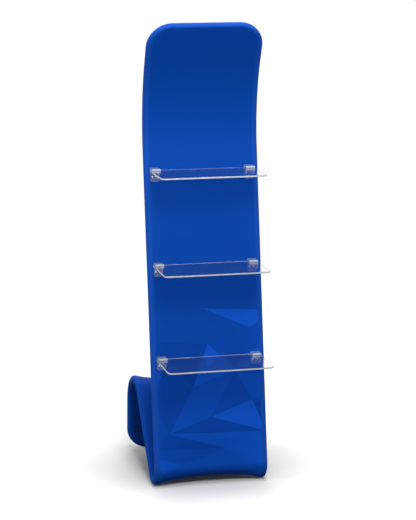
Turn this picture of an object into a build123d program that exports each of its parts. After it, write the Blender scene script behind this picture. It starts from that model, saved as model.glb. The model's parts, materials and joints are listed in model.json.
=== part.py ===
from build123d import *
import math
import os

# A free-standing display stand: one bent tube frame inside a stretched fabric pillowcase, with three
# clear shelves on clear moulded brackets. Millimetres, +Z up, +X to the viewer's right, -Y is the front.
# The origin is on the floor, midway between the two front feet, under the lowest point of the front bend.

# Frame outline, on the tube axis, seen from the side
frame_width = 422.0
bend_radius = 56.0
panel_lean = 8.6
panel_length = 1225.0
top_curve_radius = 610.0
top_curve_turn = 32.8
top_end_length = 145.0
riser_lean = 42.4
riser_length = 343.5
hump_radius = 121.0
rear_leg_lean = 3.0
top_corner_radius = 83.0
rear_corner_radius = 71.0

# Round tube, its inner joiners and their spring buttons
tube_diameter = 25.0
tube_wall = 1.5
joiner_wall = 1.5
joiner_clearance = 0.1
joiner_length = 50.0
butt_gap = 0.2
lower_joint_rise = 60.0
middle_joint_rise = 600.0
riser_joint_rise = 70.0
button_radius = 3.5
button_clearance = 0.1
button_crown_round = 1.4
button_flange_radius = 5.2
button_flange_thickness = 1.2
leaf_length = 16.0
leaf_width = 7.0
leaf_thickness = 0.6
leaf_bend_radius = 1.2

# Fabric pillowcase
fabric_wall = 1.2
fabric_clearance = 0.3
front_bend_dip = 23.0
hump_dip = 20.0
dip_fade = 150.0
dip_fade_rear_leg = 100.0
dip_station_angle = 6.0
dip_station_step = 12.5
dip_handle = 0.4
bezier_middle_share = 0.75

# Shelves
shelf_top_heights = {"upper": 1216.5, "middle": 858.5, "lower": 502.5}
shelf_width = 409.0
shelf_depth = 219.0
shelf_thickness = 6.0
shelf_front_corner_radius = 19.0
shelf_back_corner_radius = 3.0
shelf_edge_bevel = 0.6
shelf_clearance = 0.1

# Brackets
bracket_spacing = 370.0
bracket_width = 34.0
bracket_plate_thickness = 4.0
bracket_plate_drop = 38.0
bracket_plate_corner = 7.0
bracket_gap = 0.3
jaw_depth = 36.0
jaw_thickness = 3.0
jaw_bead_height = 8.0
jaw_bead_thickness = 4.0
jaw_bead_round = 1.2
web_thickness = 5.0
web_reach = 82.0
web_tip_height = 13.0
web_root_height = 31.0
web_hollow = 8.0

# Bracket screws and their nuts
screw_radius = 2.0
screw_drop = 20.0
screw_spacing = 20.0
screw_hole_clearance = 0.25
screw_head_radius = 4.0
screw_head_height = 2.6
screw_head_round = 1.15
screw_socket_radius = 1.4
screw_socket_depth = 1.5
nut_width = 8.0
nut_thickness = 3.6
nut_bore_clearance = 0.03
screw_end_past_nut = 1.0

# Crossbars that carry the brackets
crossbar_height = 36.0
crossbar_wall = 2.0
crossbar_corner = 2.5
crossbar_seat_clearance = 0.1
plug_length = 44.0
plug_depth = 15.0
plug_clearance = 0.1
plug_corner = 1.0
bolt_radius = 3.0
bolt_length = 42.0
bolt_clearance = 0.1
bolt_head_radius = 5.0
bolt_head_height = 3.0
bolt_head_round = 1.2
bolt_access_clearance = 0.5

# Zip that closes the pillowcase, on the tunnel side of the rear leg
zip_length = 392.0
zip_height = 82.0
zip_tape_width = 28.0
zip_tape_thickness = 0.8
zip_tape_clearance = 0.1
zip_chain_width = 5.0
zip_chain_height = 1.6
zip_chain_round = 0.6
zip_slider_length = 14.0
zip_slider_width = 11.0
zip_slider_height = 5.0
zip_slider_corner = 3.3
zip_slider_clearance = 0.2
zip_pull_length = 30.0
zip_pull_corner = 2.0
zip_pull_pin_depth = 1.8
zip_pull_arm_width = 1.4
zip_pull_arm_gap = 0.3
zip_pull_arm_reach = 2.0
zip_pull_thickness = 1.5

# Values that follow from the ones above
tube_radius = tube_diameter / 2
side_x = frame_width / 2
cover_inner = tube_radius + fabric_clearance
cover_outer = cover_inner + fabric_wall
tube_bore = tube_radius - tube_wall
joiner_radius = tube_bore - joiner_clearance
joiner_bore = joiner_radius - joiner_wall
full_length_tolerance = 1e-6
straight_turn = 1e-4
cut_past = 1.0
from_base = (Align.CENTER, Align.CENTER, Align.MIN)

node_solids = {}


def radians_of(degrees):
    return math.radians(degrees)


# The side outline. Distance s runs along the tube axis: s = 0 at the lowest point of the front bend,
# s > 0 forward and up the panel, s < 0 back, up the riser, over the hump and down the rear leg.
def turtle(start_heading, pieces):
    y, z, heading = 0.0, cover_outer, start_heading
    travelled = 0.0
    legs = []
    for length, turn in pieces:
        legs.append((travelled, y, z, heading, length, turn))
        y, z, heading = advance(y, z, heading, length, turn, length)
        travelled += length
    return legs, (y, z, heading), travelled


def advance(y, z, heading, length, turn, distance):
    """Point and heading after a distance along a leg that turns by `turn` over its whole length."""
    if abs(turn) < full_length_tolerance:
        return y + distance * math.cos(heading), z + distance * math.sin(heading), heading
    radius = length / turn
    swept = distance / radius
    centre_y = y - radius * math.sin(heading)
    centre_z = z + radius * math.cos(heading)
    turned = heading + swept
    return centre_y + radius * math.sin(turned), centre_z - radius * math.cos(turned), turned


front_bend_turn = radians_of(90 + panel_lean)
rear_bend_turn = radians_of(90 - riser_lean)
hump_turn = radians_of(180 - riser_lean - rear_leg_lean)
forward_pieces = [
    (bend_radius * front_bend_turn, -front_bend_turn),
    (panel_length, 0.0),
    (top_curve_radius * radians_of(top_curve_turn), radians_of(top_curve_turn)),
    (top_end_length, 0.0),
]
backward_pieces = [
    (bend_radius * rear_bend_turn, rear_bend_turn),
    (riser_length, 0.0),
    (hump_radius * hump_turn, -hump_turn),
]
_, leg_top, _ = turtle(0.0, backward_pieces)
rear_leg_length = (leg_top[1] - cover_outer) / math.cos(radians_of(rear_leg_lean))
backward_pieces.append((rear_leg_length, 0.0))

forward_legs, _, s_top = turtle(math.pi, forward_pieces)
backward_legs, _, rear_total = turtle(0.0, backward_pieces)

s_bend_front = forward_pieces[0][0]
s_top_curve = s_bend_front + panel_length
s_top_end = s_top_curve + forward_pieces[2][0]
s_bend_rear = -backward_pieces[0][0]
s_hump_front = s_bend_rear - riser_length
s_hump_rear = s_hump_front - backward_pieces[2][0]
s_rear = -rear_total
breaks = [s_rear, s_hump_rear, s_hump_front, s_bend_rear, 0.0, s_bend_front, s_top_curve, s_top_end, s_top]


def at(s):
    """Point (y, z) on the axis and the heading, in the direction of growing s."""
    legs = forward_legs if s >= 0 else backward_legs
    distance = abs(s)
    chosen = [leg for leg in legs if leg[0] <= distance + full_length_tolerance][-1]
    y, z, heading = advance(*chosen[1:6], distance - chosen[0])
    return y, z, heading if s >= 0 else heading + math.pi


def section_plane(s, x=0.0):
    """Plane across the frame at s: local x is +X, local z is the heading."""
    y, z, heading = at(s)
    return Plane(origin=(x, y, z), x_dir=(1, 0, 0), z_dir=(0, math.cos(heading), math.sin(heading)))


def panel_plane(s, x=0.0):
    """Plane in the sheet of the frame at s: local y is the heading, local z faces the front."""
    y, z, heading = at(s)
    return Plane(origin=(x, y, z), x_dir=(1, 0, 0), z_dir=(0, -math.sin(heading), math.cos(heading)))


def axis_path(x, s_from, s_to):
    """Wire along the tube axis of one side between two distances."""
    inner = [s for s in breaks if s_from + full_length_tolerance < s < s_to - full_length_tolerance]
    stops = [s_from] + inner + [s_to]
    edges = []
    for a, b in zip(stops[:-1], stops[1:]):
        start, middle, end = ((x, *at(s)[:2]) for s in (a, (a + b) / 2, b))
        if abs(at(a + full_length_tolerance)[2] - at(b - full_length_tolerance)[2]) < straight_turn:
            edges.append(Edge.make_line(start, end))
        else:
            edges.append(Edge.make_three_point_arc(start, middle, end))
    return Wire(edges)


def ring_along(path, plane, outer, bore):
    profile = plane * (Circle(outer) - Circle(bore))
    return sweep(profile, path=path)


def side_tube(x, s_from, s_to):
    low, high = s_from + butt_gap / 2, s_to - butt_gap / 2
    return ring_along(axis_path(x, low, high), section_plane(low, x), tube_radius, tube_bore)


# Where the tubes meet
s_joint_lower = s_bend_front + lower_joint_rise
s_joint_middle = s_bend_front + middle_joint_rise
s_joint_top = s_top_end + (top_end_length - top_corner_radius) / 2
s_joint_riser = s_bend_rear - riser_joint_rise
s_joint_rear = s_hump_rear - (rear_leg_length - rear_corner_radius) / 2
joints = {
    "top": s_joint_top,
    "middle": s_joint_middle,
    "lower": s_joint_lower,
    "riser": s_joint_riser,
    "rear": s_joint_rear,
}
sides = {"left": -side_x, "right": side_x}


def bow_outline(reach, corner_radius, close=False):
    """U of the tube axis in a panel plane, its legs starting at local y = 0."""
    points = [(-side_x, 0), (-side_x, reach), (side_x, reach), (side_x, 0)]
    line = FilletPolyline(*points, radius=corner_radius)
    if close:
        return line + Line((side_x, 0), (-side_x, 0))
    return line


def flipped(plane):
    """The same sheet with local y pointing the other way."""
    return Plane(origin=plane.origin, x_dir=-plane.x_dir, z_dir=plane.z_dir)


def bow_plane(s, to_top):
    plane = panel_plane(s)
    return plane if to_top else flipped(plane)


def bow_tube(s_joint, to_top, corner_radius):
    start = s_joint + butt_gap / 2 if to_top else s_joint - butt_gap / 2
    reach = (s_top if to_top else -s_rear) - abs(start)
    plane = bow_plane(start, to_top)
    path = plane * bow_outline(reach, corner_radius)
    first = plane.from_local_coords((-side_x, 0, 0))
    profile_plane = Plane(origin=first, x_dir=plane.z_dir, z_dir=plane.y_dir)
    return ring_along(path, profile_plane, tube_radius, tube_bore)


def make_frame_tubes():
    node_solids["top_bow"] = bow_tube(s_joint_top, True, top_corner_radius)
    node_solids["rear_bow"] = bow_tube(s_joint_rear, False, rear_corner_radius)
    spans = {
        "upper_tube": (s_joint_middle, s_joint_top),
        "lower_tube": (s_joint_lower, s_joint_middle),
        "front_bend": (s_joint_riser, s_joint_lower),
        "hump_tube": (s_joint_rear, s_joint_riser),
    }
    for name, (s_from, s_to) in spans.items():
        for side, x in sides.items():
            node_solids[f"{name}_{side}"] = side_tube(x, s_from, s_to)


# Each joiner is swaged into the tube below it and clips into the tube above with a spring button.
def button_offset():
    return joiner_length / 4


def make_joiners():
    buttons = []
    for name, s in joints.items():
        for side, x in sides.items():
            half = joiner_length / 2
            path = axis_path(x, s - half, s + half)
            joiner = ring_along(path, section_plane(s - half, x), joiner_radius, joiner_bore)
            inward = (-1 if x > 0 else 1, 0, 0)
            heading = section_plane(s + button_offset()).z_dir
            seat = Plane(origin=section_plane(s + button_offset(), x).origin, x_dir=heading, z_dir=inward)
            hole = seat * Cylinder(
                button_radius + button_clearance, tube_radius + cut_past, align=from_base
            )
            node_solids[f"joiner_{name}_{side}"] = joiner - hole
            cut_from_tube(name, side, hole)
            buttons.append(seat * spring_button())
    node_solids["snap_buttons"] = Compound(children=buttons)


def cut_from_tube(joint, side, hole):
    above = {
        "top": "top_bow",
        "middle": f"upper_tube_{side}",
        "lower": f"lower_tube_{side}",
        "riser": f"front_bend_{side}",
        "rear": f"hump_tube_{side}",
    }[joint]
    node_solids[above] = node_solids[above] - hole


def spring_button():
    """Button with its flange and bent leaf. Local z is the button's axis, local x the tube's axis."""
    flange_top = math.sqrt(joiner_bore**2 - button_flange_radius**2) - button_clearance
    flange_low = flange_top - button_flange_thickness
    button = Pos(0, 0, flange_low) * Cylinder(button_radius, tube_radius - flange_low, align=from_base)
    crown = button.edges().filter_by(GeomType.CIRCLE).sort_by(Axis.Z)[-1]
    button = fillet(crown, button_crown_round)
    flange = Pos(0, 0, flange_low) * Cylinder(button_flange_radius, button_flange_thickness, align=from_base)
    foot = -math.sqrt(joiner_bore**2 - (leaf_width / 2) ** 2) + leaf_thickness / 2 + button_clearance
    top = flange_low + leaf_thickness / 2
    path = FilletPolyline((leaf_length, foot), (-leaf_length, foot), (0, top), radius=leaf_bend_radius)
    centre_line = Plane.XZ * path
    across = Plane(origin=(leaf_length, 0, foot), x_dir=(0, 1, 0), z_dir=(-1, 0, 0))
    leaf = sweep(across * Rectangle(leaf_width, leaf_thickness), path=centre_line)
    return button + flange + leaf


# Sections of the pillowcase: two parallel layers with a round fold over each side tube. Over a bend the
# middle of both layers is pulled towards the inside of the bend, and each layer leaves its tube at a slope.
def layer_curve(radius, dip):
    """One layer from the left tube to the right one, tangent to the fold at both."""
    handle = dip_handle * side_x
    depth = dip / bezier_middle_share
    angle = math.atan2(depth, handle)
    start_x = -side_x - radius * math.sin(angle)
    start_y = radius * math.cos(angle)
    handle_x = start_x + handle
    handle_y = start_y + depth
    return Bezier((start_x, start_y), (handle_x, handle_y), (-handle_x, handle_y), (-start_x, start_y)), angle


def cover_section(s, radius, dip):
    upper, angle = layer_curve(radius, dip)
    lower, _ = layer_curve(-radius, dip)
    caps = []
    for end in (-1, 1):
        tip = (end * (side_x + radius * math.cos(angle)), -radius * math.sin(angle))
        place = 0 if end < 0 else 1
        caps.append(ThreePointArc(upper @ place, tip, lower @ place))
    outline = Wire([upper.edge(), caps[1].edge(), lower.edge(), caps[0].edge()])
    return section_plane(s) * outline


def bend_dip(s, s_low, s_high, fade_low, fade_high, deepest):
    """Dip at s: deepest at the middle of the bend, none past the fades."""
    middle = (s_low + s_high) / 2
    reach = (s_high - s_low) / 2 + (fade_high if s > middle else fade_low)
    share = min(abs(s - middle) / reach, 1.0)
    return deepest * math.cos(share * math.pi / 2) ** 2


def stations(s_from, s_to, step):
    count = max(1, round((s_to - s_from) / step))
    return [s_from + (s_to - s_from) * i / count for i in range(count)]


def lofted_bend(radius, s_low, s_high, fade_low, fade_high, deepest, axis_radius, turn):
    """Cover over a bend, with the straight stretches on each side where its dip fades out."""
    arc_steps = math.degrees(turn) / dip_station_angle
    arc_step = (s_high - s_low) / arc_steps
    stops = stations(s_low - fade_low, s_low, dip_station_step)
    stops += stations(s_low, s_high, arc_step)
    stops += stations(s_high, s_high + fade_high, dip_station_step) + [s_high + fade_high]
    sections = []
    for s in stops:
        sections.append(cover_section(s, radius, bend_dip(s, s_low, s_high, fade_low, fade_high, deepest)))
    return Solid.make_loft(sections)


def flat_stretch(radius, s_from, s_to):
    profile = section_plane(s_from) * SlotCenterToCenter(frame_width, 2 * radius)
    return sweep(profile, path=axis_path(0.0, s_from, s_to))


def rounded_end(radius, s_start, to_top, corner_radius):
    """End of the pillowcase round a bow: a flat slab with the bow's own round edge."""
    reach = (s_top if to_top else -s_rear) - abs(s_start)
    plane = bow_plane(s_start, to_top)
    slab = extrude(plane * make_face(bow_outline(reach, corner_radius, close=True)), radius, both=True)
    path = plane * bow_outline(reach, corner_radius)
    first = plane.from_local_coords((-side_x, 0, 0))
    rim = sweep(Plane(origin=first, x_dir=plane.z_dir, z_dir=plane.y_dir) * Circle(radius), path=path)
    return slab + rim


def cover_body(radius):
    hump = lofted_bend(
        radius, s_hump_rear, s_hump_front, dip_fade_rear_leg, dip_fade, -hump_dip, hump_radius, hump_turn
    )
    bend = lofted_bend(
        radius,
        s_bend_rear,
        s_bend_front,
        dip_fade,
        dip_fade,
        front_bend_dip,
        bend_radius,
        front_bend_turn + rear_bend_turn,
    )
    pieces = [
        rounded_end(radius, s_hump_rear - dip_fade_rear_leg, False, rear_corner_radius),
        hump,
        flat_stretch(radius, s_hump_front + dip_fade, s_bend_rear - dip_fade),
        bend,
        flat_stretch(radius, s_bend_front + dip_fade, s_top_end),
        rounded_end(radius, s_top_end, True, top_corner_radius),
    ]
    body = pieces[0]
    for piece in pieces[1:]:
        body = body + piece
    return body


# Shelf stations. The plane lies in the frame's sheet, level with the underside of the shelf where the
# cover's front face stands.
def underside(height):
    return height - shelf_thickness


def shelf_plane(height, x=0.0):
    lean = radians_of(panel_lean)
    _, z_low, _ = at(s_bend_front)
    axis_height = underside(height) - cover_outer * math.sin(lean)
    s = s_bend_front + (axis_height - z_low) / math.cos(lean)
    return panel_plane(s, x)


def front_face_y(height):
    return shelf_plane(height).from_local_coords((0, 0, cover_outer)).Y


plate_back = cover_outer + bracket_gap
plate_front = plate_back + bracket_plate_thickness
plate_top = shelf_thickness + jaw_bead_height
nut_front = tube_radius - crossbar_wall
screw_end = nut_front - nut_thickness - screw_end_past_nut


def screw_places():
    return [-screw_spacing / 2, screw_spacing / 2]


def shelf_back_y(height):
    """The shelf's back edge stands just clear of the plate's leaning front face."""
    lean = radians_of(panel_lean)
    plate_face = (plate_front - cover_outer) / math.cos(lean)
    return front_face_y(height) - plate_face - bracket_gap


def make_shelf(height):
    corners = Plane.XY.offset(underside(height))
    outline = corners * (Pos(0, shelf_back_y(height) - shelf_depth / 2) * Rectangle(shelf_width, shelf_depth))
    solid = extrude(outline, shelf_thickness)
    uprights = solid.edges().filter_by(Axis.Z).sort_by(Axis.Y)
    solid = fillet(uprights[:2], shelf_front_corner_radius)
    uprights = solid.edges().filter_by(Axis.Z).sort_by(Axis.Y)
    solid = fillet(uprights[-2:], shelf_back_corner_radius)
    rims = solid.faces().sort_by(Axis.Z)[0].edges() + solid.faces().sort_by(Axis.Z)[-1].edges()
    return chamfer(rims, shelf_edge_bevel)


def make_bracket(height, x):
    """Plate on the fabric, two jaws that hold the shelf's back edge, and a web that carries it."""
    on_panel = shelf_plane(height, x)
    tall = bracket_plate_drop + plate_top
    plate_face = on_panel.offset(plate_back) * (
        Pos(0, (plate_top - bracket_plate_drop) / 2) * Rectangle(bracket_width, tall)
    )
    plate = extrude(plate_face, bracket_plate_thickness)
    side_on = Plane(origin=(x, front_face_y(height), underside(height)), x_dir=(0, -1, 0), z_dir=(-1, 0, 0))
    lean = radians_of(panel_lean)
    plate_middle = (bracket_gap + bracket_plate_thickness / 2) / math.cos(lean)

    def behind(level):
        return plate_middle - level * math.tan(lean)

    low = -shelf_clearance
    jaw_low = low - jaw_thickness
    lower_jaw = Polyline(
        (behind(low), low), (jaw_depth, low), (jaw_depth, jaw_low), (behind(jaw_low), jaw_low), close=True
    )
    high = shelf_thickness + shelf_clearance
    jaw_top = high + jaw_thickness
    bead_top = shelf_thickness + jaw_bead_height
    bead_back = jaw_depth - jaw_bead_thickness
    upper_jaw = Polyline(
        (behind(high), high),
        (jaw_depth, high),
        (jaw_depth, bead_top),
        (bead_back, bead_top),
        (bead_back, jaw_top),
        (behind(jaw_top), jaw_top),
        close=True,
    )
    root = (behind(-web_root_height), -web_root_height)
    tip = (web_reach, low - web_tip_height)
    hollow = ((root[0] + tip[0]) / 2, (root[1] + tip[1]) / 2 + web_hollow)
    web_edge = ThreePointArc(root, hollow, tip)
    web_rest = Polyline(tip, (web_reach, low), (behind(low), low), root)
    jaws = []
    for outline in (lower_jaw, upper_jaw):
        jaws.append(extrude(side_on * make_face(outline), bracket_width / 2, both=True))
    web = extrude(side_on * make_face(web_edge + web_rest), web_thickness / 2, both=True)
    bead_rims = jaws[1].edges().filter_by(Axis.X).sort_by(Axis.Y)[:2]
    jaws[1] = fillet(bead_rims, jaw_bead_round)
    rims = plate.edges().filter_by(Axis(on_panel.origin, on_panel.z_dir)).sort_by(Axis.Z)
    plate = fillet(rims[:2], bracket_plate_corner)
    bracket = plate + jaws[0] + jaws[1] + web
    for place in screw_places():
        bore = on_panel * Pos(place, -screw_drop, plate_back - cut_past) * Cylinder(
            screw_radius + screw_hole_clearance,
            bracket_plate_thickness + 2 * cut_past,
            align=from_base,
        )
        bracket = bracket - bore
    return bracket


def screw_and_nut(plane, place):
    shank = Pos(0, 0, screw_end) * Cylinder(screw_radius, plate_front - screw_end, align=from_base)
    head = Pos(0, 0, plate_front) * Cylinder(screw_head_radius, screw_head_height, align=from_base)
    head = fillet(head.edges().filter_by(GeomType.CIRCLE).sort_by(Axis.Z)[-1], screw_head_round)
    socket_floor = plate_front + screw_head_height - screw_socket_depth
    socket = Pos(0, 0, socket_floor) * extrude(RegularPolygon(screw_socket_radius, 6), screw_socket_depth)
    screw = shank + head - socket
    nut = Pos(0, 0, nut_front - nut_thickness) * extrude(Rectangle(nut_width, nut_width), nut_thickness)
    nut = nut - Pos(0, 0, screw_end) * Cylinder(
        screw_radius + nut_bore_clearance, plate_front - screw_end, align=from_base
    )
    spot = plane * Pos(place, -screw_drop, 0)
    return spot * screw, spot * nut


def side_cylinder(plane_x, plane, radius):
    """Room for a side tube beside a crossbar, in the crossbar's own plane."""
    return plane * Pos(plane_x, -screw_drop, 0) * Rot(90, 0, 0) * Cylinder(radius, crossbar_height * 3)


def make_crossbar(plane):
    """Flat-fronted box tube, coped to the round side tubes."""
    across = Plane(
        origin=plane.from_local_coords((-side_x, -screw_drop, 0)), x_dir=plane.y_dir, z_dir=plane.x_dir
    )
    outer = RectangleRounded(crossbar_height, tube_diameter, crossbar_corner)
    bore_height = crossbar_height - 2 * crossbar_wall
    bore_depth = tube_diameter - 2 * crossbar_wall
    bore = RectangleRounded(bore_height, bore_depth, crossbar_corner - crossbar_wall)
    bar = extrude(across * (outer - bore), frame_width)
    for end in (-side_x, side_x):
        bar = bar - side_cylinder(end, plane, tube_radius + crossbar_seat_clearance)
    for centre in (-bracket_spacing / 2, bracket_spacing / 2):
        for place in screw_places():
            drill = Cylinder(screw_radius + screw_hole_clearance, 2 * crossbar_wall, align=from_base)
            bar = bar - plane * Pos(centre + place, -screw_drop, nut_front - crossbar_wall / 2) * drill
    return bar


def make_plug(plane, end):
    """Moulded plug inside the crossbar's end, hollowed to sit on the side tube."""
    high = crossbar_height - 2 * crossbar_wall - 2 * plug_clearance
    back = -(tube_radius - crossbar_wall - plug_clearance)
    direction = math.copysign(1, end)
    centre_x = end - direction * (tube_radius + plug_length / 2)
    reach = plug_length + tube_radius
    block = Box(reach, high, plug_depth)
    block = fillet(block.edges().filter_by(Axis.X), plug_corner)
    block = Pos(centre_x + direction * tube_radius / 2, -screw_drop, back + plug_depth / 2) * block
    plug = plane * block - side_cylinder(end, plane, tube_radius + crossbar_seat_clearance)
    hole = plane * Pos(end, -screw_drop, 0) * Rot(0, 90, 0) * Cylinder(
        bolt_radius + bolt_clearance, 2 * (bolt_length + tube_radius)
    )
    return plug - hole


def make_bolt(plane, end):
    """Bolt from inside the side tube into the plug. Its head bears on the tube's inner wall."""
    direction = math.copysign(1, end)
    seat = math.sqrt(tube_bore**2 - bolt_head_radius**2) - bolt_clearance
    start = plane.from_local_coords((end, -screw_drop, 0))
    outward = Plane(origin=start, x_dir=plane.y_dir, z_dir=-direction * plane.x_dir)
    head = Pos(0, 0, seat - bolt_head_height) * Cylinder(bolt_head_radius, bolt_head_height, align=from_base)
    head = fillet(head.edges().filter_by(GeomType.CIRCLE).sort_by(Axis.Z)[0], bolt_head_round)
    shank = Pos(0, 0, seat) * Cylinder(bolt_radius, bolt_length, align=from_base)
    return outward * (head + shank)


def bolt_holes(plane, end):
    """Clearance hole in the tube's inner wall and access hole in its outer wall."""
    direction = math.copysign(1, end)
    start = plane.from_local_coords((end, -screw_drop, 0))
    inward = Plane(origin=start, x_dir=plane.y_dir, z_dir=-direction * plane.x_dir)
    outward = Plane(origin=inward.origin, x_dir=plane.y_dir, z_dir=direction * plane.x_dir)
    small = inward * Cylinder(bolt_radius + bolt_clearance, tube_radius + cut_past, align=from_base)
    large = outward * Cylinder(bolt_head_radius + bolt_access_clearance, tube_radius + cut_past, align=from_base)
    return small + large


def tube_at(s, side):
    return f"lower_tube_{side}" if s < s_joint_middle else f"upper_tube_{side}"


def shelf_s(height):
    lean = radians_of(panel_lean)
    _, z_low, _ = at(s_bend_front)
    return s_bend_front + (underside(height) - cover_outer * math.sin(lean) - z_low) / math.cos(lean)


def make_shelf_set():
    screws, nuts, plugs, bolts, cover_holes = [], [], [], [], []
    for name, height in shelf_top_heights.items():
        plane = shelf_plane(height)
        node_solids[f"shelf_{name}"] = make_shelf(height)
        node_solids[f"crossbar_{name}"] = make_crossbar(plane)
        for side, end in sides.items():
            centre = math.copysign(bracket_spacing / 2, end)
            node_solids[f"bracket_{name}_{side}"] = make_bracket(height, centre)
            for place in screw_places():
                screw, nut = screw_and_nut(shelf_plane(height, centre), place)
                screws.append(screw)
                nuts.append(nut)
                hole = Cylinder(screw_radius + screw_hole_clearance, fabric_wall * 3, align=from_base)
                spot = Pos(centre + place, -screw_drop, cover_inner - fabric_wall)
                cover_holes.append(plane * spot * hole)
            plugs.append(make_plug(plane, end))
            bolts.append(make_bolt(plane, end))
            tube = tube_at(shelf_s(height) - screw_drop, side)
            node_solids[tube] = node_solids[tube] - bolt_holes(plane, end)
    node_solids["bracket_screws"] = Compound(children=screws)
    node_solids["crossbar_nuts"] = Compound(children=nuts)
    node_solids["crossbar_plugs"] = Compound(children=plugs)
    node_solids["crossbar_bolts"] = Compound(children=bolts)
    return cover_holes


# Zip, closed. Local z points out of the cover into the tunnel, local y up the leg.
def zip_plane():
    _, z_rear, _ = at(s_rear)
    s = s_rear + (zip_height - z_rear) / math.cos(radians_of(rear_leg_lean))
    return panel_plane(s)


def make_zip():
    plane = zip_plane()
    tape_low = cover_outer + zip_tape_clearance
    tape_top = tape_low + zip_tape_thickness
    chain_top = tape_top + zip_chain_height
    tape = Pos(0, 0, tape_low) * extrude(Rectangle(zip_length, zip_tape_width), zip_tape_thickness)
    chain_profile = Plane.YZ * RectangleRounded(zip_chain_width, zip_chain_height, zip_chain_round)
    chain = extrude(chain_profile, zip_length / 2, both=True)
    chain = Pos(0, 0, tape_top + zip_chain_height / 2) * chain
    slider_x = zip_length / 2 - zip_slider_length
    slot_wide = zip_chain_width + 2 * zip_slider_clearance
    slot_high = zip_chain_height + zip_slider_clearance
    slider_low = tape_top + zip_slider_clearance
    slider_block = Box(
        zip_slider_length,
        zip_slider_width,
        zip_slider_height - zip_slider_clearance,
        align=from_base,
    )
    slider_block = fillet(slider_block.edges().filter_by(Axis.Z), zip_slider_corner)
    slot = Box(zip_slider_length * 2, slot_wide, slot_high, align=from_base)
    bridge_hole = Pos(0, 0, zip_slider_height - zip_pull_pin_depth) * Rot(90, 0, 0) * Cylinder(
        zip_pull_thickness / 2 + zip_slider_clearance, zip_slider_width * 2
    )
    slider = slider_block - slot - bridge_hole
    node_solids["zip_tape"] = plane * tape
    node_solids["zip_chain"] = plane * chain
    node_solids["zip_slider"] = plane * Pos(slider_x, 0, slider_low) * slider
    arm_y = zip_slider_width / 2 + zip_pull_arm_gap + zip_pull_arm_width / 2
    pin = Rot(90, 0, 0) * Cylinder(zip_pull_thickness / 2, 2 * arm_y)
    tab_near = -zip_slider_length - zip_pull_arm_reach
    arm_length = zip_pull_thickness / 2 + zip_pull_corner - tab_near
    arms = []
    for end in (-arm_y, arm_y):
        arm = Box(arm_length, zip_pull_arm_width, zip_pull_thickness)
        arms.append(Pos(zip_pull_thickness / 2 - arm_length / 2, end, 0) * arm)
    tab_width = 2 * arm_y + zip_pull_arm_width
    tab = Pos(tab_near - zip_pull_length / 2, 0, 0) * Box(zip_pull_length, tab_width, zip_pull_thickness)
    tab = fillet(tab.edges().filter_by(Axis.Z), zip_pull_corner)
    pull = pin + arms[0] + arms[1] + tab
    pull_level = slider_low + zip_slider_height - zip_pull_pin_depth
    node_solids["zip_pull"] = plane * Pos(slider_x, 0, pull_level) * pull


def make_cover(holes):
    cover = cover_body(cover_outer) - cover_body(cover_inner)
    for hole in holes:
        cover = cover - hole
    node_solids["fabric_cover"] = cover


make_frame_tubes()
make_joiners()
cover_holes = make_shelf_set()
make_zip()
make_cover(cover_holes)

os.makedirs("parts", exist_ok=True)
for name, shape in node_solids.items():
    export_step(shape if isinstance(shape, Compound) else Compound(children=[shape]), f"parts/{name}.step")
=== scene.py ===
import bpy
import json
import math
from mathutils import Matrix, Vector


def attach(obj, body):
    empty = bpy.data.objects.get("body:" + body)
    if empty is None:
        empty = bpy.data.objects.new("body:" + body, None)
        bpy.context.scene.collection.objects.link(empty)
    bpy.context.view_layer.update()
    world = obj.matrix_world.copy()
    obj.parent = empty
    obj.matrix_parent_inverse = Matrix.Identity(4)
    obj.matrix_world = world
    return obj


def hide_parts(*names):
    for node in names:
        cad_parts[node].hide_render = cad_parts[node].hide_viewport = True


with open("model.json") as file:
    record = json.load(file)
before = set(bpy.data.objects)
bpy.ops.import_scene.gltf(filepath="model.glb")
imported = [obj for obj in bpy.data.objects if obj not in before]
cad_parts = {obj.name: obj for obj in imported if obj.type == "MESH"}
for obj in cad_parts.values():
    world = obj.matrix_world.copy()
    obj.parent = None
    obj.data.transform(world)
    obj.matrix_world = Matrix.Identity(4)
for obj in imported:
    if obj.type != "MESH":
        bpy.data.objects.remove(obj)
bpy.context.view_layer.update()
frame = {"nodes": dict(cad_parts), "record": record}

# A free-standing display stand: a stretched fabric pillowcase over a bent tube frame, with three clear
# shelves on clear brackets. Metres, +Z up, -Y is the front, as in the CAD model.

# Side outline of the frame, on the tube axis
side_x = 0.211
bend_radius = 0.056
panel_lean = math.radians(8.6)
panel_length = 1.225
top_curve_radius = 0.610
top_curve_turn = math.radians(32.8)
top_end_length = 0.145
riser_lean = math.radians(42.4)
riser_length = 0.3435
hump_radius = 0.121
rear_leg_lean = math.radians(3.0)
top_corner_radius = 0.083
rear_corner_radius = 0.071
joint_slack = 1e-9

# Cloth
cover_radius = 0.014
cloth_thickness = 0.0012
front_bend_dip = 0.023
hump_dip = 0.020
dip_fade = 0.150
dip_fade_rear_leg = 0.100
dip_handle = 0.4
bezier_middle_share = 0.75
columns = 44
rim_steps = 14
bend_step = 0.006
straight_step = 0.018
corner_steps = 14

# Camera, in the object's frame
camera_azimuth = math.radians(-13.51)
camera_elevation = math.radians(11.2)
camera_lens = 125.46
camera_sensor = 36.0
camera_depth = 7.037
picture_width = 416
picture_height = 520
foot_pixel = (155.0, 484.3)


# Side outline. Distance s runs along the tube axis: 0 at the lowest point of the front bend, positive
# forward and up the panel, negative back, up the riser, over the hump and down the rear leg.
def advance(y, z, heading, length, turn, distance):
    """The place and heading at a distance along a straight run or, where it turns, an arc."""
    if turn == 0:
        return y + distance * math.cos(heading), z + distance * math.sin(heading), heading
    radius = length / turn
    turned = heading + distance / radius
    centre_y = y - radius * math.sin(heading)
    centre_z = z + radius * math.cos(heading)
    return centre_y + radius * math.sin(turned), centre_z - radius * math.cos(turned), turned


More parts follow.
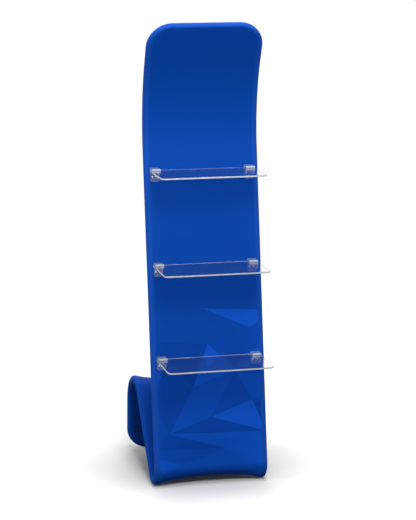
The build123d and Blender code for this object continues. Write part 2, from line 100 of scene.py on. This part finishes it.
def lay_out(heading, pieces):
    """Runs and arcs joined end to end from the bottom of the front bend."""
    y, z, travelled = 0.0, cover_radius, 0.0
    legs = []
    for length, turn in pieces:
        legs.append((travelled, y, z, heading, length, turn))
        y, z, heading = advance(y, z, heading, length, turn, length)
        travelled += length
    return legs, (y, z), travelled


front_turn = math.radians(90) + panel_lean
rear_turn = math.radians(90) - riser_lean
hump_turn = math.pi - riser_lean - rear_leg_lean
forward = [
    (bend_radius * front_turn, -front_turn),
    (panel_length, 0.0),
    (top_curve_radius * top_curve_turn, top_curve_turn),
    (top_end_length, 0.0),
]
backward = [
    (bend_radius * rear_turn, rear_turn),
    (riser_length, 0.0),
    (hump_radius * hump_turn, -hump_turn),
]
_, leg_top, _ = lay_out(0.0, backward)
backward.append(((leg_top[1] - cover_radius) / math.cos(rear_leg_lean), 0.0))
forward_legs, _, s_top = lay_out(math.pi, forward)
backward_legs, _, rear_total = lay_out(0.0, backward)
s_rear = -rear_total
s_bend_front = forward[0][0]
s_bend_rear = -backward[0][0]
s_hump_front = s_bend_rear - riser_length
s_hump_rear = s_hump_front - backward[2][0]


def at(s):
    """The tube axis at distance s, as y, z and heading."""
    legs = forward_legs if s >= 0 else backward_legs
    leg = [leg for leg in legs if leg[0] <= abs(s) + joint_slack][-1]
    y, z, heading = advance(*leg[1:6], abs(s) - leg[0])
    return y, z, heading if s >= 0 else heading + math.pi


def section_axes(s):
    """Origin, direction of growing s and the direction to the inside of the front bend."""
    y, z, heading = at(s)
    along = Vector((0, math.cos(heading), math.sin(heading)))
    inward = Vector((0, math.sin(heading), -math.cos(heading)))
    return Vector((0, y, z)), along, inward


# How far the middle of the cloth is pulled in between the side tubes, at the two bends
def one_dip(s, low, high, fade_low, fade_high, deepest):
    middle = (low + high) / 2
    reach = (high - low) / 2 + (fade_high if s > middle else fade_low)
    share = min(abs(s - middle) / reach, 1.0)
    return deepest * math.cos(share * math.pi / 2) ** 2


def dip_at(s):
    over_hump = one_dip(s, s_hump_rear, s_hump_front, dip_fade_rear_leg, dip_fade, -hump_dip)
    return over_hump + one_dip(s, s_bend_rear, s_bend_front, dip_fade, dip_fade, front_bend_dip)


# Rows of the cloth from the rear bar to the top bow. Each row has its place, the half width of the tube
# axis there, and how far the edge has turned round the corner of its bow.
def span(low, high, step):
    count = max(1, round((high - low) / step))
    return [low + (high - low) * i / count for i in range(count)]


def cloth_rows():
    rows = []
    for k in range(corner_steps):
        turn = math.pi / 2 * (1 - k / corner_steps)
        place = s_rear + rear_corner_radius * (1 - math.sin(turn))
        rows.append((place, side_x - rear_corner_radius * (1 - math.cos(turn)), -turn))
    stops = [
        (s_rear + rear_corner_radius, s_hump_rear - dip_fade_rear_leg, straight_step),
        (s_hump_rear - dip_fade_rear_leg, s_hump_front + dip_fade, bend_step),
        (s_hump_front + dip_fade, s_bend_rear - dip_fade, straight_step),
        (s_bend_rear - dip_fade, s_bend_front + dip_fade, bend_step),
        (s_bend_front + dip_fade, s_top - top_corner_radius, straight_step),
    ]
    for low, high, step in stops:
        rows += [(s, side_x, 0.0) for s in span(low, high, step)]
    for k in range(corner_steps + 1):
        turn = math.pi / 2 * k / corner_steps
        place = s_top - top_corner_radius * (1 - math.sin(turn))
        rows.append((place, side_x - top_corner_radius * (1 - math.cos(turn)), turn))
    return rows


def bezier(a, b, c, d, t):
    """A cubic curve from a to d with handles b and c."""
    r = 1 - t
    return a * r**3 + 3 * b * r * r * t + 3 * c * r * t * t + d * t**3


def layer_points(half_width, radius, dip):
    """One layer across, as (x, inward) pairs, tangent to the fold over each side tube."""
    handle = dip_handle * half_width
    depth = dip / bezier_middle_share
    angle = math.atan2(depth, handle)
    x0 = -half_width - radius * math.sin(angle)
    y0 = radius * math.cos(angle)
    points = []
    for j in range(columns + 1):
        t = j / columns
        x = bezier(x0, x0 + handle, -x0 - handle, -x0, t)
        points.append((x, bezier(y0, y0 + depth, y0 + depth, y0, t)))
    return points, angle


class ClothPoints:
    """Points of the cover and the faces between them. Each point has its place on the cloth: across it,
    along it, and its side, which runs round the fold from 0 on the back layer to 1 on the front one."""

    def __init__(self):
        self.points = []
        self.places = []
        self.faces = []

    def add(self, point, across, along, side):
        self.points.append(point)
        self.places.append((across, along, side))
        return len(self.points) - 1


def lay_layers(cloth, rows):
    """The back and front layers, 0 and 1, as grids of point numbers, and the section of each row."""
    grids = {1: [], 0: []}
    sections = []
    for s, half_width, turn in rows:
        origin, along, inward = section_axes(s)
        for side, radius in ((0, cover_radius), (1, -cover_radius)):
            points, angle = layer_points(half_width, radius, dip_at(s))
            row = []
            for x, y in points:
                row.append(cloth.add(origin + Vector((x, 0, 0)) + inward * y, x, s, side))
            grids[side].append(row)
        sections.append((origin, along, inward, half_width, turn, angle, s))
    for side, grid in grids.items():
        for low, high in zip(grid, grid[1:]):
            for j in range(columns):
                ring = [low[j], low[j + 1], high[j + 1], high[j]]
                cloth.faces.append(ring[::-1] if side == 0 else ring)
    return grids, sections


def edge_walk(last):
    """Once round the edge: up the left side, over the top bow, down the right and along the rear bar."""
    walk = [(i, 0) for i in range(last + 1)]
    walk += [(last, j) for j in range(1, columns)]
    walk += [(i, columns) for i in range(last, -1, -1)]
    walk += [(0, j) for j in range(columns - 1, 0, -1)]
    return walk


def lay_fold(cloth, grids, sections, i, j):
    """The round edge over the tube at one step of the walk, from the back layer to the front one."""
    origin, along, inward, half_width, turn, angle, s = sections[i]
    back, front = grids[0][i][j], grids[1][i][j]
    if 0 < j < columns:
        outward = along * (-1 if i == 0 else 1)
        centre = (cloth.points[back] + cloth.points[front]) / 2
    else:
        hand = -1 if j == 0 else 1
        outward = Vector((hand * math.cos(turn), 0, 0)) + along * math.sin(turn)
        centre = origin + Vector((hand * half_width, 0, 0))
    fold = [back]
    for k in range(1, rim_steps):
        t = k / rim_steps
        swing = angle + math.pi * t
        point = centre + (outward * math.sin(swing) + inward * math.cos(swing)) * cover_radius
        reach = cover_radius * math.pi * min(t, 1 - t)
        across = cloth.points[back].x + outward.x * reach
        fold.append(cloth.add(point, across, s + outward.dot(along) * reach, t))
    return fold + [front]


def make_cloth():
    """The cover as one closed skin, thickened inwards."""
    cloth = ClothPoints()
    grids, sections = lay_layers(cloth, cloth_rows())
    folds = [lay_fold(cloth, grids, sections, i, j) for i, j in edge_walk(len(sections) - 1)]
    for a, b in zip(folds, folds[1:] + folds[:1]):
        for k in range(rim_steps):
            cloth.faces.append([a[k], a[k + 1], b[k + 1], b[k]])
    mesh = bpy.data.meshes.new("stretched_cover")
    mesh.from_pydata([tuple(point) for point in cloth.points], [], cloth.faces)
    mesh.validate()
    mesh.update()
    placed = mesh.attributes.new("cloth", "FLOAT_VECTOR", "POINT")
    for k, place in enumerate(cloth.places):
        placed.data[k].vector = place
    mesh.polygons.foreach_set("use_smooth", [True] * len(mesh.polygons))
    cover = bpy.data.objects.new("stretched_cover", mesh)
    bpy.context.collection.objects.link(cover)
    wall = cover.modifiers.new("wall", "SOLIDIFY")
    wall.thickness = cloth_thickness
    wall.offset = -1
    return cover


# Materials
def srgb(red, green, blue):
    """Linear colour from 0-255 display values."""
    linear = []
    for value in (red, green, blue):
        v = value / 255
        linear.append(v / 12.92 if v <= 0.04045 else ((v + 0.055) / 1.055) ** 2.4)
    return (*linear, 1.0)


class Nodes:
    """Short names for making and joining shader nodes, in a material or in the world."""

    def __init__(self, owner, output):
        self.owner = owner
        owner.use_nodes = True
        self.tree = owner.node_tree
        self.tree.nodes.clear()
        self.output = self.add(output)

    def add(self, kind, **settings):
        node = self.tree.nodes.new(kind)
        for key, value in settings.items():
            setattr(node, key, value)
        return node

    def link(self, source, target):
        self.tree.links.new(source, target)

    def set(self, socket, value):
        if isinstance(value, bpy.types.NodeSocket):
            self.link(value, socket)
        else:
            socket.default_value = value

    def shader(self, kind, inputs):
        node = self.add(kind)
        for name, value in inputs.items():
            self.set(node.inputs[name], value)
        return node.outputs[0]

    def mix_shaders(self, factor, a, b):
        node = self.add("ShaderNodeMixShader")
        for socket, value in zip(node.inputs, (factor, a, b)):
            self.set(socket, value)
        return node.outputs[0]

    def finish(self, surface):
        self.link(surface, self.output.inputs["Surface"])
        return self.owner

    def math(self, operation, a, b=None, c=None, clamp=False):
        node = self.add("ShaderNodeMath", operation=operation, use_clamp=clamp)
        for socket, value in zip(node.inputs, (a, b, c)):
            if value is not None:
                self.set(socket, value)
        return node.outputs[0]

    def times(self, a, b):
        return self.math("MULTIPLY", a, b)

    def plus(self, a, b):
        return self.math("ADD", a, b)

    def rest(self, value):
        """What is left of 1."""
        return self.math("SUBTRACT", 1.0, value)

    def dot(self, a, b):
        node = self.add("ShaderNodeVectorMath", operation="DOT_PRODUCT")
        self.set(node.inputs[0], a)
        self.set(node.inputs[1], b)
        return node.outputs["Value"]

    def split(self, vector):
        node = self.add("ShaderNodeSeparateXYZ")
        self.link(vector, node.inputs[0])
        return node.outputs

    def wave(self, value, pitch):
        return self.math("SINE", self.times(value, 2 * math.pi / pitch))

    def mix_colour(self, factor, a, b, blend="MIX"):
        node = self.add("ShaderNodeMix", data_type="RGBA", blend_type=blend)
        for socket, value in zip((node.inputs[0], node.inputs[6], node.inputs[7]), (factor, a, b)):
            self.set(socket, value)
        return node.outputs[2]

    def smooth(self, value, low, high):
        """0 below low and 1 above high, with a smooth step between."""
        node = self.add("ShaderNodeMapRange", interpolation_type="SMOOTHSTEP")
        for socket, item in zip(node.inputs, (value, low, high, 0.0, 1.0)):
            self.set(socket, item)
        return node.outputs[0]

    def noise(self, vector, scale, detail=3.0):
        node = self.add("ShaderNodeTexNoise")
        self.set(node.inputs["Vector"], vector)
        self.set(node.inputs["Scale"], scale)
        self.set(node.inputs["Detail"], detail)
        return node.outputs["Fac"]

    def bump(self, height, strength, distance):
        node = self.add("ShaderNodeBump")
        self.set(node.inputs["Height"], height)
        self.set(node.inputs["Strength"], strength)
        self.set(node.inputs["Distance"], distance)
        return node.outputs["Normal"]

    def position(self):
        return self.add("ShaderNodeTexCoord").outputs["Object"]


def material_nodes(name):
    return Nodes(bpy.data.materials.new(name), "ShaderNodeOutputMaterial")


# Print on the lower front: flat triangles in shades between two blues, in tilted rows with a ragged upper
# edge. Each draw number gives a cell a random value of its own. The print comes in by side round the fold,
# and by distance along at the foot.
facet_tilt = math.radians(19)
facet_row = 0.135
facet_wide = 0.165
facet_lean = 0.5
facet_rows_up = 4.3
facet_ragged = 1.2
facet_sway = 1.1
facet_dark = srgb(2, 66, 168)
facet_light = srgb(12, 90, 215)
flip_draw = 7.5
flip_share = 0.5
edge_draw = 3.0
print_side_low = 0.80
print_side_high = 0.98
print_foot_low = -0.02
print_foot_high = 0.03

# Cloth colour. A painted highlight in a paler blue runs along the fold over each tube, stronger up the
# front panel. Places round the fold run from 0 at the seam in its middle to 1 at its edges.
cloth_blue = srgb(3, 73, 178)
fold_highlight_blue = srgb(30, 86, 190)
fold_inner = side_x - 0.012
fold_outer = side_x - 0.004
highlight_fade = 0.80
fold_highlight = 0.12
fold_highlight_front = 0.35
highlight_front_low = -0.02
highlight_front_high = 0.10
seam_side = 0.5

# Knit, seam and stitches
knit_wale = 0.0016
knit_course = 0.0012
knit_share = 0.25
knit_tone = 0.06
knit_height = 0.4
slow_scale = 7.0
slow_tone = 0.10
fine_scale = 240.0
fine_detail = 2.0
fine_tone = 0.06
base_tone = 0.92
seam_inner = 0.024
seam_outer = 0.070
seam_painted_shade = 0.40
seam_depth = 2.0
stitch_length = 0.0035
stitch_filled = 0.68
stitch_place = 0.12
stitch_inner = 0.010
stitch_outer = 0.022
stitch_tone = 0.35
cloth_roughness = 0.62
cloth_roughness_change = 0.12
cloth_bump = 0.35
cloth_bump_depth = 0.0004
cloth_gloss = 0.07
cloth_sheen = 0.03
cloth_sheen_roughness = 0.45
cloth_sheen_blue = srgb(120, 150, 235)


def facet_shade(n, across, along):
    """A random value for each triangle, and 1 where the print is or 0 above it. The corners in each row
    are shifted by a random share, and each four-sided cell is split along one of its diagonals."""
    up = n.times(along, math.cos(facet_tilt) / facet_row)
    row = n.math("SUBTRACT", up, n.times(across, math.sin(facet_tilt) / facet_row))
    row_number = n.math("FLOOR", row)
    in_row = n.math("FRACT", row)
    shifts = []
    for number in (row_number, n.plus(row_number, 1.0)):
        random = n.add("ShaderNodeTexWhiteNoise", noise_dimensions="1D")
        n.link(number, random.inputs["W"])
        shifts.append(random.outputs["Value"])
    step = n.times(n.math("SUBTRACT", shifts[1], shifts[0]), in_row)
    shift = n.times(n.plus(shifts[0], step), facet_sway)
    column = n.plus(n.math("DIVIDE", across, facet_wide), n.times(row, facet_lean))
    column = n.plus(column, shift)
    column_number = n.math("FLOOR", column)
    in_column = n.math("FRACT", column)

    def cell_value(draw):
        together = n.add("ShaderNodeCombineXYZ")
        for socket, value in zip(together.inputs, (column_number, row_number, draw)):
            n.set(socket, value)
        random = n.add("ShaderNodeTexWhiteNoise", noise_dimensions="3D")
        n.link(together.outputs[0], random.inputs["Vector"])
        return random.outputs["Value"]

    rising = n.math("GREATER_THAN", in_column, in_row)
    falling = n.math("GREATER_THAN", n.plus(in_column, in_row), 1.0)
    flip = n.math("GREATER_THAN", cell_value(flip_draw), flip_share)
    half = n.plus(n.times(rising, flip), n.times(falling, n.rest(flip)))
    shade = cell_value(half)
    ragged = n.times(cell_value(n.plus(half, edge_draw)), facet_ragged)
    return shade, n.math("LESS_THAN", n.plus(row_number, ragged), facet_rows_up)


def cloth_colour(n, across, along, side, from_seam):
    """Blue ground, the print on the lower front, and a painted highlight along each fold."""
    shade, below = facet_shade(n, across, along)
    facets = n.mix_colour(shade, facet_dark, facet_light)
    fold = n.smooth(n.math("ABSOLUTE", across), fold_inner, fold_outer)
    front = n.times(n.smooth(side, print_side_low, print_side_high), n.rest(fold))
    above = n.smooth(along, print_foot_low, print_foot_high)
    printed = n.times(n.times(front, above), below)
    colour = n.mix_colour(printed, cloth_blue, facets)
    # Painted highlight: a paler blue along each fold, where the round cloth catches the light, stronger up
    # the front panel
    highlight_band = n.math("MAXIMUM", fold, n.rest(n.smooth(from_seam, highlight_fade, 1.0)))
    on_front = n.smooth(along, highlight_front_low, highlight_front_high)
    highlight_strength = n.plus(n.times(on_front, fold_highlight_front), fold_highlight)
    return n.mix_colour(n.times(highlight_band, highlight_strength), colour, fold_highlight_blue)


def stitches(n, across, along, from_seam):
    """Threads on each side of the seam."""
    in_stitch = n.math("FRACT", n.math("DIVIDE", n.plus(across, along), stitch_length))
    beside = n.math("ABSOLUTE", n.math("SUBTRACT", from_seam, stitch_place))
    thread = n.rest(n.smooth(beside, stitch_inner, stitch_outer))
    return n.times(thread, n.math("LESS_THAN", in_stitch, stitch_filled))


def cloth_material():
    n = material_nodes("printed_stretch_knit")
    across, along, side = n.split(n.add("ShaderNodeAttribute", attribute_name="cloth").outputs["Vector"])
    from_seam = n.times(n.math("ABSOLUTE", n.math("SUBTRACT", side, seam_side)), 2.0)
    colour = cloth_colour(n, across, along, side, from_seam)
    # Wales run along the cloth and courses across it, and the tension changes slowly
    knit = n.times(n.plus(n.wave(across, knit_wale), n.wave(along, knit_course)), knit_share)
    place = n.position()
    slow = n.noise(place, slow_scale)
    fine = n.noise(place, fine_scale, fine_detail)
    tone = n.plus(n.times(slow, slow_tone), n.times(fine, fine_tone))
    tone = n.plus(n.plus(tone, n.times(knit, knit_tone)), base_tone)
    seam = n.rest(n.smooth(from_seam, seam_inner, seam_outer))
    thread = stitches(n, across, along, from_seam)
    # Painted shade: the seam's groove is darkened, which also draws a dark line round the outer edge of
    # each fold
    tone = n.times(tone, n.rest(n.times(seam, seam_painted_shade)))
    tone = n.times(tone, n.plus(n.times(thread, stitch_tone), 1.0))
    grey = n.add("ShaderNodeCombineColor")
    for socket in grey.inputs:
        n.link(tone, socket)
    raised = n.plus(n.times(knit, knit_height), thread)
    height = n.math("SUBTRACT", raised, n.times(seam, seam_depth))
    return n.finish(n.shader("ShaderNodeBsdfPrincipled", {
        "Base Color": n.mix_colour(1.0, colour, grey.outputs[0], "MULTIPLY"),
        "Roughness": n.plus(n.times(fine, cloth_roughness_change), cloth_roughness),
        "Specular IOR Level": cloth_gloss,
        "Sheen Weight": cloth_sheen,
        "Sheen Roughness": cloth_sheen_roughness,
        "Sheen Tint": cloth_sheen_blue,
        "Normal": n.bump(height, cloth_bump, cloth_bump_depth),
    }))


# Clear plastic. Sawn and moulded edges are told by how upright their faces are, and the brackets' bead by
# how far it stands out from the plane of the panel's tubes.
panel_front = Vector((0, -math.cos(panel_lean), math.sin(panel_lean)))
panel_plane = Vector((0, *at(s_bend_front)[:2])).dot(panel_front)
bead_face = 0.044
bead_normal_y = -0.8
upright_below = 0.2
level_above = 0.9
edge_round = 0.0008
edge_samples = 6
edge_highlight_gain = 2.4
pale_white = srgb(234, 239, 243)
pale_roughness = 0.22
clear_roughness = 0.03
cut_grain_scale = 60.0
cut_grain = 0.4
cut_base = 0.8
surface_veil = 0.006


def pale_share(n, place, grain, frost_and_edge_glow, bead):
    """Where the plastic is pale: rounded edges with a painted highlight, sawn or moulded upright faces with
    frost and a painted glow, and the brackets' bead.
    """
    rounded = n.add("ShaderNodeBevel", samples=edge_samples)
    rounded.inputs["Radius"].default_value = edge_round
    normal = n.add("ShaderNodeNewGeometry").outputs["True Normal"]
    # Painted highlight: rounded edges are mixed towards pale white, where clear plastic catches the light
    edge_highlight = n.math("MULTIPLY", n.rest(n.dot(rounded.outputs[0], normal)), edge_highlight_gain, clamp=True)
    facing = n.split(normal)
    upright = n.rest(n.smooth(n.math("ABSOLUTE", facing["Z"]), upright_below, level_above))
    # Frost on upright faces, partly a painted glow of the light that the sheet carries to its edges
    cut = n.times(n.times(upright, frost_and_edge_glow), n.plus(n.times(grain, cut_grain), cut_base))
    past = n.math("GREATER_THAN", n.dot(place, panel_front), panel_plane + bead_face)
    on_bead = n.times(past, n.math("LESS_THAN", facing["Y"], bead_normal_y))
    cut = n.math("MAXIMUM", cut, n.times(on_bead, bead))
    return n.math("ADD", n.math("MAXIMUM", edge_highlight, cut), surface_veil, clamp=True)


def clear_material(name, tint, index, shade, frost_and_edge_glow, bead):
    """Clear plastic. Shadow rays and scattered light pass straight on, dimmed at each face."""
    n = material_nodes(name)
    place = n.position()
    grain = n.noise(place, cut_grain_scale)
    clear = n.shader("ShaderNodeBsdfPrincipled", {
        "Base Color": tint,
        "Transmission Weight": 1.0,
        "IOR": index,
        "Roughness": n.times(grain, clear_roughness),
    })
    pale = n.shader("ShaderNodeBsdfPrincipled", {"Base Color": pale_white, "Roughness": pale_roughness})
    seen = n.mix_shaders(pale_share(n, place, grain, frost_and_edge_glow, bead), clear, pale)
    through = n.shader("ShaderNodeBsdfTransparent", {"Color": shade})
    path = n.add("ShaderNodeLightPath")
    passes = n.math("MAXIMUM", path.outputs["Is Shadow Ray"], path.outputs["Is Diffuse Ray"])
    return n.finish(n.mix_shaders(passes, seen, through))


# Metal and moulded plastic. The zip's chain has the turns of a coil.
grain_dark = 0.82
grain_roughness = 0.16
grain_bump = 0.15
grain_depth = 0.0002
coil_pitch = 0.0016
coil_wave = 0.35
coil_grain = 0.3
coil_bump = 0.9
coil_depth = 0.0008


def solid_material(
    name, colour, metallic, roughness, grain_scale, stretch=(1, 1, 1), shine=0.5, coils=False
):
    """Metal or plastic with grain, or the turns of a coil, in its colour, roughness and surface."""
    n = material_nodes(name)
    mapping = n.add("ShaderNodeMapping")
    mapping.inputs["Scale"].default_value = stretch
    place = n.position()
    n.link(place, mapping.inputs["Vector"])
    grain = n.noise(mapping.outputs[0], grain_scale)
    bump, depth = grain_bump, grain_depth
    if coils:
        turns = n.math("MULTIPLY_ADD", n.wave(n.split(place)["X"], coil_pitch), coil_wave, coil_wave)
        grain = n.plus(n.times(grain, coil_grain), turns)
        bump, depth = coil_bump, coil_depth
    darker = tuple(grain_dark * c for c in colour[:3]) + (1.0,)
    return n.finish(n.shader("ShaderNodeBsdfPrincipled", {
        "Base Color": n.mix_colour(grain, darker, colour),
        "Roughness": n.plus(n.times(grain, grain_roughness), roughness - grain_roughness / 2),
        "Metallic": metallic,
        "Specular IOR Level": shine,
        "Normal": n.bump(grain, bump, depth),
    }))


def dress_nodes():
    """Give each CAD node but the cover the finish of its material slot."""
    finishes = {
        "clear_acrylic": clear_material(
            "polished_acrylic",
            tint=(0.85, 0.855, 0.86, 1),
            index=1.49,
            shade=(0.76, 0.77, 0.79, 1),
            frost_and_edge_glow=0.75,
            bead=0.0,
        ),
        "clear_moulding": clear_material(
            "clear_moulding",
            tint=(0.97, 0.975, 0.98, 1),
            index=1.18,
            shade=(0.96, 0.96, 0.965, 1),
            frost_and_edge_glow=0.08,
            bead=0.55,
        ),
        "aluminium_tube": solid_material(
            "mill_aluminium",
            srgb(205, 207, 210),
            metallic=1.0,
            roughness=0.34,
            grain_scale=90.0,
            stretch=(1, 1, 0.05),
        ),
        "steel_screw": solid_material(
            "bright_zinc", srgb(168, 172, 182), metallic=1.0, roughness=0.38, grain_scale=500.0
        ),
        "spring_steel": solid_material(
            "spring_steel", srgb(150, 152, 158), metallic=1.0, roughness=0.30, grain_scale=400.0
        ),
        "black_nylon": solid_material(
            "black_nylon", srgb(28, 28, 30), metallic=0.0, roughness=0.48, grain_scale=600.0
        ),
        "zip_tape": solid_material(
            "zip_tape", srgb(12, 70, 170), metallic=0.0, roughness=0.8, grain_scale=900.0, shine=0.1
        ),
        "zip_plastic": solid_material(
            "zip_coil",
            srgb(10, 58, 148),
            metallic=0.0,
            roughness=0.4,
            grain_scale=700.0,
            shine=0.2,
            coils=True,
        ),
        "zip_metal": solid_material(
            "zip_die_casting", srgb(176, 178, 184), metallic=1.0, roughness=0.32, grain_scale=450.0
        ),
    }
    for part in frame["record"]["subparts"]:
        if part["node"] != "fabric_cover":
            materials = frame["nodes"][part["node"]].data.materials
            materials.clear()
            materials.append(finishes[part["material_slot"]])


# Floor and world. The floor keeps the shadow near the stand. Further out a glow makes up for the light that
# it lacks, so that it shows white, and beyond plain_far it is plain white.
floor_size = 160.0
floor_grey = (0.74, 0.74, 0.73, 1)
floor_grey_for_bounces = (0.12, 0.12, 0.118, 1)
black = (0, 0, 0, 1)
white = (1, 1, 1, 1)
stand_middle_y = 0.15
shade_near = 0.16
shade_far = 0.64
floor_glow_far = 0.87
floor_light = 0.58
floor_light_reach = 2.8
plain_near = 2.0
plain_far = 6.0
world_light = 0.20
half_a_bounce = 0.5


def seen_share(n, path):
    """1 for what the camera sees, in gloss and through clear plastic too, and 0 after a matt bounce."""
    seen = n.math("MAXIMUM", path.outputs["Is Camera Ray"], path.outputs["Is Glossy Ray"])
    seen = n.math("MAXIMUM", seen, path.outputs["Is Transmission Ray"])
    return n.times(seen, n.math("LESS_THAN", path.outputs["Diffuse Depth"], half_a_bounce))


def make_floor():
    bpy.ops.mesh.primitive_plane_add(size=floor_size, location=(0, 0, 0))
    floor = bpy.context.object
    floor.name = "floor"
    n = material_nodes("pale_floor")
    path = n.add("ShaderNodeLightPath")
    place = n.split(n.position())
    off_y = n.math("SUBTRACT", place["Y"], stand_middle_y)
    distance = n.math("SQRT", n.plus(n.math("POWER", place["X"], 2.0), n.math("POWER", off_y, 2.0)))
    fall = n.plus(n.math("POWER", n.math("DIVIDE", distance, floor_light_reach), 2.0), 1.0)
    lack = n.math("SUBTRACT", floor_glow_far, n.math("DIVIDE", floor_light, fall))
    strength = n.times(n.smooth(distance, shade_near, shade_far), lack)
    plain = n.smooth(distance, plain_near, plain_far)
    strength = n.plus(strength, n.times(plain, n.rest(strength)))
    grey = n.mix_colour(path.outputs["Is Diffuse Ray"], floor_grey, floor_grey_for_bounces)
    ground = n.shader("ShaderNodeBsdfDiffuse", {"Color": n.mix_colour(plain, grey, black)})
    glow = n.shader("ShaderNodeEmission", {"Strength": n.times(seen_share(n, path), strength)})
    both = n.add("ShaderNodeAddShader")
    n.link(ground, both.inputs[0])
    n.link(glow, both.inputs[1])
    floor.data.materials.append(n.finish(both.outputs[0]))


def make_world():
    n = Nodes(bpy.data.worlds.new("studio"), "ShaderNodeOutputWorld")
    lighting = n.shader("ShaderNodeBackground", {"Color": white, "Strength": world_light})
    backdrop = n.shader("ShaderNodeBackground", {"Color": white, "Strength": 1.0})
    shown = seen_share(n, n.add("ShaderNodeLightPath"))
    bpy.context.scene.world = n.finish(n.mix_shaders(shown, lighting, backdrop))


# Lamps: place, target, width and power
lamps = {
    "key_lamp": ((-0.2, -3.3, 3.7), (0, 0, 0.7), 1.5, 114.0),
    "overhead_lamp": ((0.1, -0.5, 4.6), (0, 0.1, 0), 1.6, 84.0),
    "left_lamp": ((-3.4, -0.7, 2.2), (0, 0, 0.9), 1.6, 40.0),
    "right_lamp": ((3.4, -0.7, 2.2), (0, 0, 0.9), 1.6, 24.0),
    "back_lamp": ((0.3, 3.5, 3.2), (0, 0.2, 0.8), 2.0, 48.0),
}


def make_lamps():
    for name, (place, target, width, power) in lamps.items():
        lamp = bpy.data.lights.new(name, "AREA")
        lamp.shape = "DISK"
        lamp.size = width
        lamp.energy = power
        holder = bpy.data.objects.new(name, lamp)
        bpy.context.collection.objects.link(holder)
        holder.location = place
        holder.rotation_euler = (Vector(target) - Vector(place)).to_track_quat("-Z", "Y").to_euler()


def make_camera():
    a, e = camera_azimuth, camera_elevation
    ahead = Vector((-math.sin(a) * math.cos(e), math.cos(a) * math.cos(e), -math.sin(e)))
    right = Vector((math.cos(a), math.sin(a), 0))
    up = right.cross(ahead)
    focal = camera_lens / camera_sensor * picture_height
    off_x = (foot_pixel[0] - picture_width / 2) / focal
    off_y = -(foot_pixel[1] - picture_height / 2) / focal
    foot = Vector((-side_x, 0, 0))
    place = foot - camera_depth * (ahead + off_x * right + off_y * up)
    data = bpy.data.cameras.new("camera")
    data.lens = camera_lens
    data.sensor_width = camera_sensor
    camera = bpy.data.objects.new("camera", data)
    bpy.context.collection.objects.link(camera)
    turned = Matrix((right, up, -ahead)).transposed()
    camera.matrix_world = Matrix.Translation(place) @ turned.to_4x4()
    bpy.context.scene.camera = camera


cover = make_cloth()
cover.data.materials.append(cloth_material())
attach(cover, "root")
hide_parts("fabric_cover")
dress_nodes()
make_floor()
make_world()
make_lamps()
make_camera()
bpy.context.scene.view_settings.view_transform = "Standard"

bpy.context.view_layer.update()
